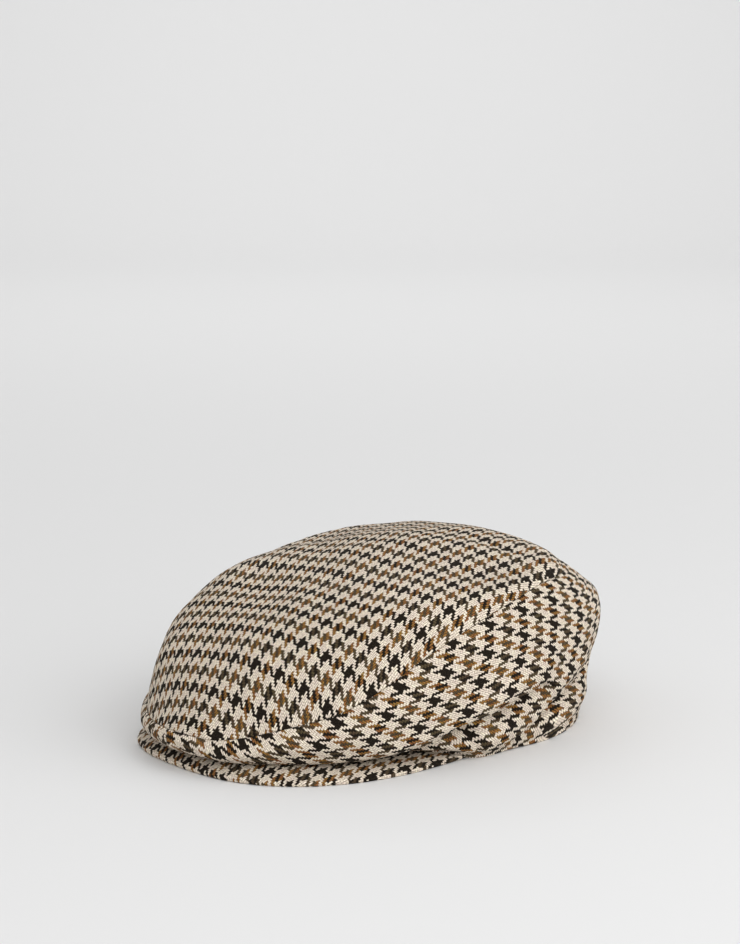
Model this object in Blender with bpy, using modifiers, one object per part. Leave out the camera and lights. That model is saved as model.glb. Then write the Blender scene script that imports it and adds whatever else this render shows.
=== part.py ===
"""Flat cap of checked wool cloth: a top panel, two side panels and a stiff peak, each a solid of its own.

The crown is a loft through a few level rings, from the hem up to the top. The seam ring parts the top panel
from the side panels, which meet at the front and at the back. The peak lies under the crown's front.
Metres, +Z up. The peak points to -Y, the wearer's left is +X, and the cap rests on the floor at Z = 0.
"""
import math

import bmesh
import bpy
from mathutils import Matrix, Vector

# Driving sizes
CROWN_LENGTH = 0.273
CROWN_WIDTH = 0.204
CROWN_HEIGHT = 0.1025
OPENING_LENGTH = 0.2
OPENING_WIDTH = 0.173
BACK_OVERHANG = 0.0105
CLOTH = 0.0022
PEAK_WIDTH = 0.18
PEAK_REACH = 0.056
PEAK_SWEEP = 0.121
PEAK_THICKNESS = 0.0034
PEAK_TURN_IN = 0.003
PEAK_END_LIFT = 0.0006
PEAK_END_WIDTH = 0.002
FRONT_LIFT = 0.012
HEM_BAND = 0.002
CLEARANCE = 0.0003

# How finely the surfaces are cut
RING_SPOKES = 88
ROWS_PER_RING = 2
EDGE_ROW_SHARE = 0.12
PEAK_SPOKES = 18
PEAK_PLACES = (0.0, 0.3, 0.55, 0.72, 0.84, 0.93, 1.0)
RIM_STEPS = 5

# Headings run from 0 at the front to 180 at the back
PEAK_END_HEADING = 71
LIFT_END_HEADING = 105
OPENING_WIDEST_SHARE = 0.54
PEAK_CURL_POWER = 3.6
PEAK_SQUARE_POWER = 2.65
PEAK_TIP_TAPER_SHARE = 0.4
PEAK_END_POWER = 6
PEAK_NARROW_POWER = 12

# Crown rings from the hem to the top. Front, widest and back are shares of the crown's length from its
# middle and half is a share of its half width. The five heights, at headings 0, 45, 90, 135 and 180, are
# shares of the way from the peak's top, or past its ends the floor, up to the crown's height.
RING_COLUMNS = ("name", "front", "widest", "back", "half", "heights")
RINGS = [
    ("crease", -0.463, 0.085, 0.486, 0.956, (0.034, 0.034, 0.250, 0.370, 0.390)),
    ("roll", -0.490, 0.085, 0.498, 0.985, (0.088, 0.106, 0.355, 0.490, 0.510)),
    ("belly", -0.500, 0.085, 0.500, 1.000, (0.130, 0.168, 0.495, 0.640, 0.640)),
    ("brow", -0.498, 0.085, 0.457, 0.985, (0.158, 0.215, 0.645, 0.740, 0.725)),
    ("seam", -0.493, 0.085, 0.387, 0.912, (0.180, 0.274, 0.815, 0.855, 0.845)),
    ("shoulder", -0.438, 0.080, 0.336, 0.866, (0.420, 0.618, 0.865, 0.930, 0.940)),
    ("rise", -0.326, 0.070, 0.272, 0.672, (0.670, 0.828, 0.897, 0.958, 0.984)),
    ("upper", -0.130, 0.080, 0.180, 0.345, (0.872, 0.892, 0.932, 0.982, 0.995)),
    ("crown", 0.085, 0.085, 0.085, 0.000, (1.000, 1.000, 1.000, 1.000, 1.000)),
]
TUCK_SHARE = 0.55
TUCK_HEIGHTS = (0.012, 0.012, 0.110, 0.180, 0.190)
SEAM_INSET_SHARE = 0.75

# Folds pressed into the crown, each along a line between two headings and heights in rings. Width is a
# share of the crown's width and depth of its height; a negative depth is a ridge.
FOLD_COLUMNS = ("name", "heading_from", "ring_from", "heading_to", "ring_to", "width", "depth")
FOLDS = [
    ("side_fold", 73, 2.9, 103, 3.35, 0.026, 0.026),
    ("side_fold_swell", 76, 3.7, 100, 4.1, 0.032, -0.014),
    ("peak_end_pucker", 73, 1.2, 75, 2.8, 0.022, 0.022),
    ("rear_fold_low", 88, 1.5, 107, 2.6, 0.026, 0.030),
    ("rear_fold_high", 105, 2.6, 128, 3.2, 0.028, 0.030),
    ("rear_fold_swell", 92, 3.0, 116, 3.6, 0.030, -0.012),
    ("hem_swell", 103, 1.8, 132, 2.4, 0.030, -0.010),
    ("top_ripple", 132, 8.4, 152, 9.6, 0.045, 0.014),
]

# Folds press towards a heart in the crown's middle and fade out over a share of their length past each end
FOLD_RUN_OUT_SHARE = 0.3
HEART_LENGTH_SHARE = 0.8
HEART_HEIGHT_SHARE = 0.4

# Colour and roughness of the cloth
CLOTH_COLOUR = (0.30, 0.24, 0.18, 1.0)
PEAK_COLOUR = (0.26, 0.21, 0.16, 1.0)
CLOTH_ROUGHNESS = 0.9

OPENING_BACK = CROWN_LENGTH / 2 - BACK_OVERHANG
OPENING_FRONT = OPENING_BACK - OPENING_LENGTH
OPENING_WIDEST = OPENING_FRONT + OPENING_WIDEST_SHARE * OPENING_LENGTH
RING_NAMES = ["opening", "hem", "tuck"] + [row[0] for row in RINGS]
SEAM_LEVEL = RING_NAMES.index("seam")
TOP_LEVEL = len(RING_NAMES) - 1


def clear_scene():
    """Remove every object of the scene that Blender opens with."""
    for item in list(bpy.data.objects):
        bpy.data.objects.remove(item, do_unlink=True)


def smooth_between(before, start, end, after, share):
    """Point at a share of the way from start to end, on a smooth curve through four points.

    The slope at each point allows for how far apart its neighbours are, so close rings give no loops.
    """
    span = (end - start).length
    leave = (end - before) * (span / max(span + (start - before).length, 1e-9))
    arrive = (after - start) * (span / max(span + (after - end).length, 1e-9))
    square = share * share
    cube = square * share
    return (
        start * (2 * cube - 3 * square + 1)
        + leave * (cube - 2 * square + share)
        + end * (3 * square - 2 * cube)
        + arrive * (cube - square)
    )


def blend_stations(values, heading):
    """Value at a heading from five values at headings 0 to 180, mirrored at both ends."""
    place = min(heading / 45, 3.999999)
    first = int(place)
    share = place - first
    mirrored = [values[1]] + list(values) + [values[-2]]
    before, start, end, after = mirrored[first:first + 4]
    slope = (end - before) / 2
    next_slope = (after - start) / 2
    turn = 3 * (end - start) - 2 * slope - next_slope
    bend = 2 * (start - end) + slope + next_slope
    return start + share * (slope + share * (turn + share * bend))


def hem_lift(heading):
    """Height of the hem over the floor, lifted by the peak at the front."""
    if heading >= LIFT_END_HEADING:
        return 0.0
    return FRONT_LIFT * math.cos(math.radians(90 * heading / LIFT_END_HEADING)) ** 2


def seat_height(heading, reach):
    """Top of the peak under the crown, from the hem at reach 0 to the peak's edge at reach 1."""
    inner = hem_lift(heading)
    edge = PEAK_THICKNESS * (1 - (1 - inner / FRONT_LIFT) ** 2)
    return edge + (inner - edge) * (1 - reach ** PEAK_CURL_POWER)


def plan_point(front, widest, back, half_width, heading):
    """Point of an egg-shaped outline: two half ellipses that meet at its widest place."""
    angle = math.radians(heading)
    reach = widest - front if heading < 90 else back - widest
    return half_width * math.sin(angle), widest - reach * math.cos(angle)


def opening_plan(heading):
    """Plan of the head opening."""
    return plan_point(OPENING_FRONT, OPENING_WIDEST, OPENING_BACK, OPENING_WIDTH / 2, heading)


def reach_over_peak(x, y):
    """How far a point lies from the hem towards the peak's edge: 0 at the hem, 1 at the edge."""
    ahead = max(OPENING_WIDEST - y, 0) / (OPENING_WIDEST - OPENING_FRONT)
    hem_scale = math.hypot(x / (OPENING_WIDTH / 2), ahead)
    from_hem = math.hypot(x, OPENING_WIDEST - y) * (1 - 1 / max(hem_scale, 1))
    end = OPENING_FRONT - PEAK_REACH + PEAK_SWEEP
    across = (x / (PEAK_WIDTH / 2)) ** PEAK_SQUARE_POWER
    edge_scale = (across + (max(end - y, 0) / PEAK_SWEEP) ** PEAK_SQUARE_POWER) ** (1 / PEAK_SQUARE_POWER)
    to_edge = math.hypot(x, end - y) * (1 / min(max(edge_scale, 0.1), 1) - 1)
    return from_hem / max(from_hem + to_edge, 0.0001)


def ring_point(level, heading):
    """Point of one ring on the +X side of the cap."""
    name = RING_NAMES[level]
    x, y = opening_plan(heading)
    if name == "opening":
        return Vector((x, y, hem_lift(heading)))
    if name == "hem":
        return Vector((x, y, hem_lift(heading) + HEM_BAND))
    if name == "tuck":
        outer = ring_point(level + 1, heading)
        x += (outer.x - x) * TUCK_SHARE
        y += (outer.y - y) * TUCK_SHARE
        heights = TUCK_HEIGHTS
    else:
        _, front, widest, back, half, heights = RINGS[level - 3]
        plan = (front * CROWN_LENGTH, widest * CROWN_LENGTH, back * CROWN_LENGTH)
        x, y = plan_point(*plan, half * CROWN_WIDTH / 2, heading)
    share = blend_stations(heights, heading)
    seat = seat_height(heading, reach_over_peak(x, y)) + CLEARANCE
    return Vector((x, y, seat + (CROWN_HEIGHT - seat) * share))


def smooth_crown_point(level, heading):
    """Point of the crown at a level between rings, before its folds."""
    first = min(int(level), TOP_LEVEL - 1)
    start = ring_point(first, heading)
    end = ring_point(first + 1, heading)
    if first == 0:
        return start.lerp(end, level)
    before = ring_point(first - 1, heading)
    if first + 1 == TOP_LEVEL:
        beyond = ring_point(TOP_LEVEL - 1, 180 - heading)
        after = Vector((-beyond.x, beyond.y, beyond.z))
    else:
        after = ring_point(first + 2, heading)
    return smooth_between(before, start, end, after, level - first)


def fold_push(point, start, end, width):
    """How strongly a fold presses a point: 1 on its line, fading to the sides and to both ends."""
    along = end - start
    share = (point - start).dot(along) / along.length_squared
    run = 1 + 2 * FOLD_RUN_OUT_SHARE
    reached = (share + FOLD_RUN_OUT_SHARE) / run
    if reached < 0 or reached > 1:
        return 0.0
    nearest = start + along * min(max(share, 0), 1)
    side = math.exp(-((point - nearest).length / width) ** 2)
    return side * math.sin(math.pi * reached)


def crown_point(level, heading):
    """Point of the crown's outer surface with its folds pressed towards the crown's middle."""
    point = smooth_crown_point(level, heading)
    heart = Vector((0, point.y * HEART_LENGTH_SHARE, CROWN_HEIGHT * HEART_HEIGHT_SHARE))
    inward = (heart - point).normalized()
    push = 0.0
    for _, heading_from, ring_from, heading_to, ring_to, width, depth in FOLDS:
        start = smooth_crown_point(ring_from, heading_from)
        end = smooth_crown_point(ring_to, heading_to)
        push += depth * CROWN_HEIGHT * fold_push(point, start, end, width * CROWN_WIDTH)
    hem_hold = min(max(level - 1, 0), 1)
    return point + inward * push * hem_hold


def panel_levels(first, last, shut_first, shut_last):
    """Levels of a panel's rows, with a close row beside each edge that faces another panel."""
    count = (last - first) * ROWS_PER_RING
    levels = [first + index / ROWS_PER_RING for index in range(count + 1)]
    if shut_first:
        levels.insert(1, first + EDGE_ROW_SHARE)
    if shut_last:
        levels.insert(-1, last - EDGE_ROW_SHARE)
    return levels


def make_material(name, colour):
    """Plain cloth finish with the piece's colour and roughness."""
    material = bpy.data.materials.new(name)
    material.use_nodes = True
    shader = material.node_tree.nodes["Principled BSDF"]
    shader.inputs["Base Color"].default_value = colour
    shader.inputs["Roughness"].default_value = CLOTH_ROUGHNESS
    shader.inputs["Metallic"].default_value = 0.0
    return material


def add_object(name, mesh_data, collection, colour):
    """Object from a bmesh, shaded smooth, with a material of its own."""
    mesh = bpy.data.meshes.new(name)
    mesh_data.to_mesh(mesh)
    mesh_data.free()
    for polygon in mesh.polygons:
        polygon.use_smooth = True
    item = bpy.data.objects.new(name, mesh)
    item.data.materials.append(make_material(name + "_cloth", colour))
    collection.objects.link(item)
    return item


def give_thickness(item, thickness):
    """Turn an open sheet into a wall that grows inwards from it."""
    wall = item.modifiers.new("wall", "SOLIDIFY")
    wall.thickness = thickness
    wall.offset = -1
    wall.use_rim = True


def mirror_across(item):
    """Complete the +X half of a symmetric piece."""
    mirror = item.modifiers.new("mirror", "MIRROR")
    mirror.use_axis = (True, False, False)
    mirror.use_clip = True
    mirror.merge_threshold = 0.00001


def bridge_rows(mesh_data, rows, closed=False):
    """Faces between each row of vertices and the next."""
    for lower, upper in zip(rows, rows[1:]):
        count = len(lower) if closed else len(lower) - 1
        for index in range(count):
            following = (index + 1) % len(lower)
            corners = [lower[index], lower[following], upper[following], upper[index]]
            mesh_data.faces.new(dict.fromkeys(corners))


def make_sheet(name, rows, collection, colour):
    """Open sheet through rows of points, its normals facing out of the crown."""
    mesh_data = bmesh.new()
    vertex_rows = [[mesh_data.verts.new(point) for point in row] for row in rows]
    bridge_rows(mesh_data, vertex_rows)
    bmesh.ops.remove_doubles(mesh_data, verts=mesh_data.verts, dist=0.000001)
    bmesh.ops.recalc_face_normals(mesh_data, faces=mesh_data.faces)
    heart = Vector((0, 0, CROWN_HEIGHT * HEART_HEIGHT_SHARE))
    if sum(face.normal.dot(face.calc_center_median() - heart) for face in mesh_data.faces) < 0:
        bmesh.ops.reverse_faces(mesh_data, faces=mesh_data.faces)
    return add_object(name, mesh_data, collection, colour)


def seam_edge_point(heading, direction):
    """Point of the seam ring, drawn back a little into the panel above or below it."""
    point = crown_point(SEAM_LEVEL, heading)
    beside = crown_point(SEAM_LEVEL + direction * EDGE_ROW_SHARE, heading)
    return point + (beside - point).normalized() * CLEARANCE * SEAM_INSET_SHARE


def make_top_panel(collection):
    """One-piece top of the crown, from the seam ring up."""
    headings = [180 * index / (RING_SPOKES // 2) for index in range(RING_SPOKES // 2 + 1)]
    rows = []
    for level in panel_levels(SEAM_LEVEL, TOP_LEVEL, True, False):
        if level == SEAM_LEVEL:
            row = [seam_edge_point(heading, 1) for heading in headings]
        else:
            row = [crown_point(level, heading) for heading in headings]
        rows.append(row)
    for row in rows:
        row[0].x = 0.0
        row[-1].x = 0.0
    item = make_sheet("top_panel", rows, collection, CLOTH_COLOUR)
    mirror_across(item)
    give_thickness(item, CLOTH)
    return item


def make_side_panel(name, side, collection):
    """Side of the crown from the hem to the seam ring, on the +X or the -X side."""
    count = RING_SPOKES // 2
    headings = [180 * index / count for index in range(count + 1)]
    rows = []
    for level in panel_levels(0, SEAM_LEVEL, False, True):
        if level == SEAM_LEVEL:
            row = [seam_edge_point(heading, -1) for heading in headings]
        else:
            row = [crown_point(level, heading) for heading in headings]
        row[0].x = CLEARANCE / 2
        row[-1].x = CLEARANCE / 2
        rows.append([Vector((side * point.x, point.y, point.z)) for point in row])
    item = make_sheet(name, rows, collection, CLOTH_COLOUR)
    give_thickness(item, CLOTH)
    return item


def peak_edge_point(share):
    """Point under the peak's rim, from its front at share 0 to its end at share 1."""
    angle = math.radians(90 * share)
    power = 2 / PEAK_SQUARE_POWER
    front = OPENING_FRONT - PEAK_REACH
    x = PEAK_WIDTH / 2 * math.sin(angle) ** power
    y = front + PEAK_SWEEP * (1 - max(math.cos(angle), 0) ** power)
    return Vector((x, y, PEAK_END_LIFT * share ** PEAK_END_POWER))


def peak_section(share):
    """Closed cross-section of the peak: over its top, round its rim and back underneath."""
    heading = PEAK_END_HEADING * share
    outer = peak_edge_point(share)
    hem = Vector((*opening_plan(heading), 0))
    outward = Vector((outer.x - hem.x, outer.y - hem.y, 0)).normalized()
    narrowed = hem + outward * PEAK_END_WIDTH
    narrowed.z = outer.z
    outer = outer.lerp(narrowed, share ** PEAK_NARROW_POWER)
    inner = hem - outward * PEAK_TURN_IN
    radius = PEAK_THICKNESS / 2 * (1 - PEAK_TIP_TAPER_SHARE * share ** 2)
    inner.z = hem_lift(heading) - CLEARANCE - radius
    rim_centre = outer - outward * radius
    rim_centre.z = outer.z + radius
    length = (Vector((rim_centre.x, rim_centre.y, 0)) - Vector((inner.x, inner.y, 0))).length
    drop = inner.z - rim_centre.z
    top = []
    under = []
    for place in PEAK_PLACES:
        slope = -drop * PEAK_CURL_POWER * place ** (PEAK_CURL_POWER - 1) / length
        normal = (Vector((0, 0, 1)) - outward * slope).normalized()
        centre = inner + outward * length * place
        centre.z = inner.z - drop * place ** PEAK_CURL_POWER
        top.append(centre + normal * radius)
        under.append(centre - normal * radius)
    sideways = Vector((0, 0, 1)).cross(outward)
    rim = []
    for step in range(1, RIM_STEPS):
        turn = Matrix.Rotation(math.pi * step / RIM_STEPS, 3, sideways)
        rim.append(rim_centre + turn @ (normal * radius))
    return top + rim + list(reversed(under))


def make_peak(collection):
    """Stiff peak as a loft of cross-sections from its middle to its +X end, completed by a mirror."""
    mesh_data = bmesh.new()
    rows = []
    for index in range(PEAK_SPOKES + 1):
        section = peak_section(index / PEAK_SPOKES)
        if index == 0:
            for point in section:
                point.x = 0.0
        rows.append([mesh_data.verts.new(point) for point in section])
    bridge_rows(mesh_data, rows, closed=True)
    mesh_data.faces.new(list(reversed(rows[-1])))
    bmesh.ops.recalc_face_normals(mesh_data, faces=mesh_data.faces)
    item = add_object("peak", mesh_data, collection, PEAK_COLOUR)
    mirror_across(item)
    return item


def main():
    """Build the cap's four pieces in a collection of their own."""
    clear_scene()
    collection = bpy.data.collections.new("flat_cap")
    bpy.context.scene.collection.children.link(collection)
    make_top_panel(collection)
    for name, side in (("side_panel_left", 1), ("side_panel_right", -1)):
        make_side_panel(name, side, collection)
    make_peak(collection)


main()
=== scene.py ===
"""Flat cap of houndstooth wool: woven panels with their seams, folds and hem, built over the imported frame.

The crown is the same loft through level rings as the part's own, cut finer, with the drape that cloth has
at rest. Every panel is laid out flat once, so that its threads run over it as they would over sewn cloth,
and the cloth's colours come from thread counts in that layout.
Metres, +Z up. The peak points to -Y and the wearer's left is +X. Headings run from 0 at the front to 180 at
the back, positive on the +X side.
"""
import math

import bpy
import numpy as np
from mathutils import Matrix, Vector


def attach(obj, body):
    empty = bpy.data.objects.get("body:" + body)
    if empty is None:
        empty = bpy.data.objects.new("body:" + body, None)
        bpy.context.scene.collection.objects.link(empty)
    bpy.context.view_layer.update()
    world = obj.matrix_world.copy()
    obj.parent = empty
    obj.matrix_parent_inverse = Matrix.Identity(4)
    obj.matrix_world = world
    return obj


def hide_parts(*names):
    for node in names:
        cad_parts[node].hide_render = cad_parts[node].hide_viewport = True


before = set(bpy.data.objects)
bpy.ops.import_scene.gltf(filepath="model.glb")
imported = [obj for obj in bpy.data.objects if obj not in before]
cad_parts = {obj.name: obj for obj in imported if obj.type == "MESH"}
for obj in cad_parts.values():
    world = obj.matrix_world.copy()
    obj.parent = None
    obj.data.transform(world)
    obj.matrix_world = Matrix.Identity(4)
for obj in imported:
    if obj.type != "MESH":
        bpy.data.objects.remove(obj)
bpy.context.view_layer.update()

# Driving sizes, as the part has them
CROWN_LENGTH = 0.273
CROWN_WIDTH = 0.204
CROWN_HEIGHT = 0.1025
OPENING_LENGTH = 0.2
OPENING_WIDTH = 0.173
BACK_OVERHANG = 0.0105
CLOTH = 0.0022
PEAK_WIDTH = 0.18
PEAK_REACH = 0.056
PEAK_SWEEP = 0.121
PEAK_THICKNESS = 0.0034
PEAK_TURN_IN = 0.003
PEAK_END_LIFT = 0.0006
PEAK_END_WIDTH = 0.002
FRONT_LIFT = 0.012
HEM_BAND = 0.002
CLEARANCE = 0.0003
PEAK_END_HEADING = 71
LIFT_END_HEADING = 105
OPENING_WIDEST_SHARE = 0.54
PEAK_CURL_POWER = 3.6
PEAK_SQUARE_POWER = 2.65
PEAK_TIP_TAPER_SHARE = 0.4
PEAK_END_POWER = 6
PEAK_NARROW_POWER = 12

# Crown rings from the crease to the top. Front, widest and back are shares of the crown's length from its
# middle and half is a share of its half width. The five heights, at headings 0, 45, 90, 135 and 180, are
# shares of the way from the peak's top, or past its ends the floor, up to the crown's height.
# Columns: name, front, widest, back, half, heights
RINGS = [
    ("crease", -0.463, 0.085, 0.486, 0.956, (0.034, 0.034, 0.250, 0.370, 0.390)),
    ("roll", -0.490, 0.085, 0.498, 0.985, (0.088, 0.106, 0.355, 0.490, 0.510)),
    ("belly", -0.500, 0.085, 0.500, 1.000, (0.130, 0.168, 0.495, 0.640, 0.640)),
    ("brow", -0.498, 0.085, 0.457, 0.985, (0.158, 0.215, 0.645, 0.740, 0.725)),
    ("seam", -0.493, 0.085, 0.387, 0.912, (0.180, 0.274, 0.815, 0.855, 0.845)),
    ("shoulder", -0.438, 0.080, 0.336, 0.866, (0.420, 0.618, 0.865, 0.930, 0.940)),
    ("rise", -0.326, 0.070, 0.272, 0.672, (0.670, 0.828, 0.897, 0.958, 0.984)),
    ("upper", -0.130, 0.080, 0.180, 0.345, (0.876, 0.912, 0.962, 0.985, 0.995)),
    ("crown", 0.085, 0.085, 0.085, 0.000, (1.000, 1.000, 1.000, 1.000, 1.000)),
]

# The ring between the hem and the crease: its share of the way out, and its heights
TUCK_SHARE = 0.55
TUCK_HEIGHTS = (0.012, 0.012, 0.110, 0.180, 0.190)

# Degrees between the headings of the five heights, and a place just short of the last of the five
STATION_STEP = 45
LAST_STATION = 3.999999

# The least lengths, area and scale that anything is divided by
SHORTEST = 1e-9
SHORTEST_STEP = 1e-6
SHORTEST_REACH = 0.0001
SMALLEST_AREA = 1e-12
LEAST_EDGE_SCALE = 0.1

# Sides of the crown that a fold is on
LEFT = (1,)
BOTH = (1, -1)

# Folds pressed into the crown on one side or both, each along a line between two headings and heights in
# rings. The fades above and below the line are shares of the crown's width and the depth is a share of its
# height. A negative depth is a ridge.
# Columns: name, sides, heading from, ring from, heading to, ring to, above, below, depth
FOLDS = [
    ("side_fold", BOTH, 73, 3.05, 98, 3.6, 0.010, 0.036, 0.096),
    ("side_fold_swell", BOTH, 76, 3.9, 98, 4.4, 0.034, 0.024, -0.026),
    ("lip_tuck_front", BOTH, 0, 2.6, 20, 2.6, 0.007, 0.014, 0.055),
    ("lip_tuck_side", BOTH, 20, 2.6, 40, 2.6, 0.007, 0.014, 0.055),
    ("lip_tuck_rear", BOTH, 40, 2.6, 58, 2.6, 0.007, 0.014, 0.040),
    ("peak_tuck", BOTH, 54, 2.4, 76, 3.05, 0.008, 0.036, 0.110),
    ("peak_lip_swell", BOTH, 58, 3.2, 76, 3.6, 0.030, 0.010, -0.020),
    ("peak_end_pucker", BOTH, 75, 1.2, 77, 3.0, 0.011, 0.011, 0.060),
    ("rear_fold_low", BOTH, 87, 1.35, 107, 2.5, 0.012, 0.026, 0.080),
    ("rear_fold_high", BOTH, 103, 2.4, 130, 2.9, 0.012, 0.034, 0.145),
    ("rear_fold_swell", BOTH, 92, 3.0, 118, 3.6, 0.034, 0.022, -0.034),
    ("hem_swell", BOTH, 100, 1.4, 134, 1.9, 0.024, 0.024, -0.028),
    ("small_fold", BOTH, 80, 2.3, 88, 3.0, 0.010, 0.012, 0.020),
    ("top_ripple", LEFT, 132, 8.4, 152, 9.6, 0.030, 0.030, 0.020),
]

# How far folds run out past both ends of their lines, and the heart of the crown that they press towards
FOLD_RUN_OUT_SHARE = 0.3
HEART_LENGTH_SHARE = 0.8
HEART_HEIGHT_SHARE = 0.4

# Mesh steps. A side panel has its own run of columns over the few degrees at both of its ends.
SIDE_COLUMNS = 260
SIDE_END_COLUMNS = 6
SIDE_END_HEADING = 4
TOP_COLUMNS = 400
ROWS_PER_RING = 12
TOP_ROWS_PER_RING = 15

# Flat layout: the stride of its coarse net, the rounds of its two stages and the push of the second
LAYOUT_STRIDE = 8
SPREAD_ROUNDS = 60
SETTLE_ROUNDS = 60
SETTLE_PUSH = 1.4

# Seams and hem
SEAM_ROUND = 0.0004
SEAM_SWELL = 0.0004
SEAM_SWELL_REACH = 0.0045
SEAM_GAP_SHARE = 0.004
JOINT_HALF_GAP = 0.00008
FLOOR_GAP = 0.0001
HEM_STEPS = 7
LEAST_HEM_SHARE = 0.02

# Puckers beside the seams: waves that beat, counted in degrees of heading. A degree counts as a length, and
# a level of the seams at the front and the back as so many degrees. Each kind of seam has its own phase.
PUCKER_DEPTH = 0.00025
PUCKER_LENGTH = 0.009
PUCKER_REACH = 0.008
PUCKER_BEAT = 0.31
METRES_PER_DEGREE = 0.0018
DEGREES_PER_LEVEL = 20.0
TOP_PHASE = 0.0
SIDE_PHASE = 1.1
END_PHASE = 2.3

# Peak: rows and columns of its net, how far out its underside reaches, and the ripple of the cloth by its
# rim, with two waves that beat and how soon it grows from the first row and from both ends
PEAK_ROWS = 34
PEAK_RIM_ROWS = 12
PEAK_COLUMNS = 180
PEAK_UNDER_REACH = 0.985
PEAK_RIPPLE = 0.00018
PEAK_RIPPLE_WAVES = (61.0, 23.0)
PEAK_RIPPLE_PHASE = 0.7
PEAK_STILL_ROWS = 6.0
PEAK_GROWTH_FROM_ENDS = 12

# Low waves in the laid cloth
# Columns: wave length along X, along Y and along Z, height
UNDULATIONS = [
    (0.055, 0.047, 0.062, 0.00022),
    (-0.041, 0.060, 0.050, 0.00018),
    (0.033, -0.029, 0.045, 0.00010),
]
UNDULATION_FADE_HEIGHT = 0.02

# Slack places of the crown: a centre, how far round it the cloth moves, and the move
# Columns: name, x, y, z, radius, move along X, along Y and along Z
SLUMPS = [
    ("far_side", -0.085, 0.030, 0.085, 0.045, 0.0, 0.0, -0.0030),
    ("lip_left", 0.035, -0.120, 0.022, 0.022, 0.0, 0.0, -0.0020),
    ("left_shoulder", 0.076, -0.046, 0.078, 0.032, 0.0040, -0.0020, 0.0040),
    ("left_corner", 0.076, -0.076, 0.046, 0.030, 0.0040, -0.0030, 0.0),
    ("far_corner", -0.045, -0.105, 0.050, 0.030, -0.0020, -0.0015, 0.0),
    ("left_hem_corner", 0.085, 0.004, 0.004, 0.016, 0.0030, -0.0020, -0.0030),
]

# Cloth: spacing of the threads that run fore and aft, and of the threads that cross them
THREAD_ACROSS = 0.00094
THREAD_ALONG = 0.00132

# How far the grain turns on the top and drops towards the back on the sides, in degrees
TOP_GRAIN_TURN = 7
SIDE_GRAIN_DROP = 25

# Where each panel's grain is laid true, as a level and a heading, and how the threads are shifted there
TOP_REFERENCE = (9.5, 0)
SIDE_REFERENCE = (4.5, 100)
TOP_THREAD_SHIFT = (7.35, 12.45)
LEFT_THREAD_SHIFT = (6.0, 6.5)
RIGHT_THREAD_SHIFT = (5.0, 3.0)

# Places where the cloth was pulled while the cap was sewn, all counted in threads
# Columns: across, along, radius, move across, move along
TOP_PULLS = [
    (51, 6, 33, -11.5, 10),
    (-29, 4, 30, -12, 7),
    (120, 74, 33, -12, 12),
    (10, 83, 60, 8, -4),
    (3, -86, 31, 20, -8),
    (-75, -10, 60, -20, 8),
]
LEFT_PULLS = [
    (-51, -20, 60, -4, 12),
    (3, -18, 43, 9, -2),
    (135, -114, 34, 8, 10),
    (54, 27, 23, -12, 11),
]

# Yarn colours of the bands that repeat, with the flecks spun into each
CREAM = (1.0, 0.895, 0.765, 1.0)
OAT = (0.72, 0.60, 0.46, 1.0)
BLACK = (0.005, 0.0035, 0.002, 1.0)
SOOT = (0.022, 0.015, 0.009, 1.0)
OCHRE = (0.42, 0.20, 0.052, 1.0)
UMBER = (0.10, 0.045, 0.018, 1.0)
OLIVE = (0.12, 0.085, 0.045, 1.0)
PEAT = (0.05, 0.035, 0.020, 1.0)
WARP_COLOURS = (CREAM, BLACK, CREAM, OCHRE)
WARP_FLECKS = (OAT, SOOT, OAT, UMBER)
WEFT_COLOURS = (CREAM, BLACK, CREAM, OLIVE)
WEFT_FLECKS = (OAT, SOOT, OAT, PEAT)
BAND_THREADS = 4.0
TWILL_REPEAT = 4.0
FLOAT_THREADS = 2.0
FLECK_CONTRAST = 3.0
FLUFF_SHARE = 0.02
FLUFF_COLOUR = (0.50, 0.43, 0.36, 1.0)

# How the yarn lies: its wander in threads, its height, how much a float bows up, and the painted shade in
# the gaps between threads and between the warp cords
YARN_DRIFT = 1.2
YARN_SHAKE = 0.45
YARN_RELIEF = 0.0004
FIBRE_RELIEF_SHARE = 0.35
FLOAT_BOW_SHARE = 0.55
GAP_SHADE = 0.4
CORD_SHADE = 0.45

# How much the yarn's tone, hue and roughness vary
TONE_BASE = 0.78
YARN_TONE_SPREAD = 0.4
FIBRE_TONE_SPREAD = 0.28
PATCH_TONE_SPREAD = 0.12
YARN_HUE_SPREAD = 0.07
ROUGHNESS_BASE = 0.78
ROUGHNESS_SPREAD = 0.2

# Scales of the noise, in cells a thread
PATCH_SCALE = 0.035
DRIFT_SCALE = 0.09
SHAKE_SCALE = 1.3
FLUFF_SCALE = 1.9
HEATHER_SCALE = 2.0
FIBRE_SCALE = 3.1

# Steps through the noise of yarn tones: along a thread, and from each thread to the next
TONE_STEP_ALONG = 0.22
WARP_TONE_STEP = 7.31
WEFT_TONE_STEP = 5.77

# The wool's dull shine
WOOL_SPECULAR = 0.06
SHEEN_WEIGHT = 0.02
SHEEN_ROUGHNESS = 0.45
SHEEN_TINT = (1.0, 0.92, 0.82, 1.0)

# Camera and photograph
PHOTO_HEIGHT = 944
TARGET_PIXEL_ROW = 636
CAMERA_AZIMUTH = math.radians(50)
CAMERA_ELEVATION = math.radians(13.5)
CAMERA_DISTANCE = 1.5
CAMERA_TARGET_HEIGHT = 0.05
CAMERA_LENS = 105
CAMERA_SENSOR = 36
CAMERA_REACH = 50

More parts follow.
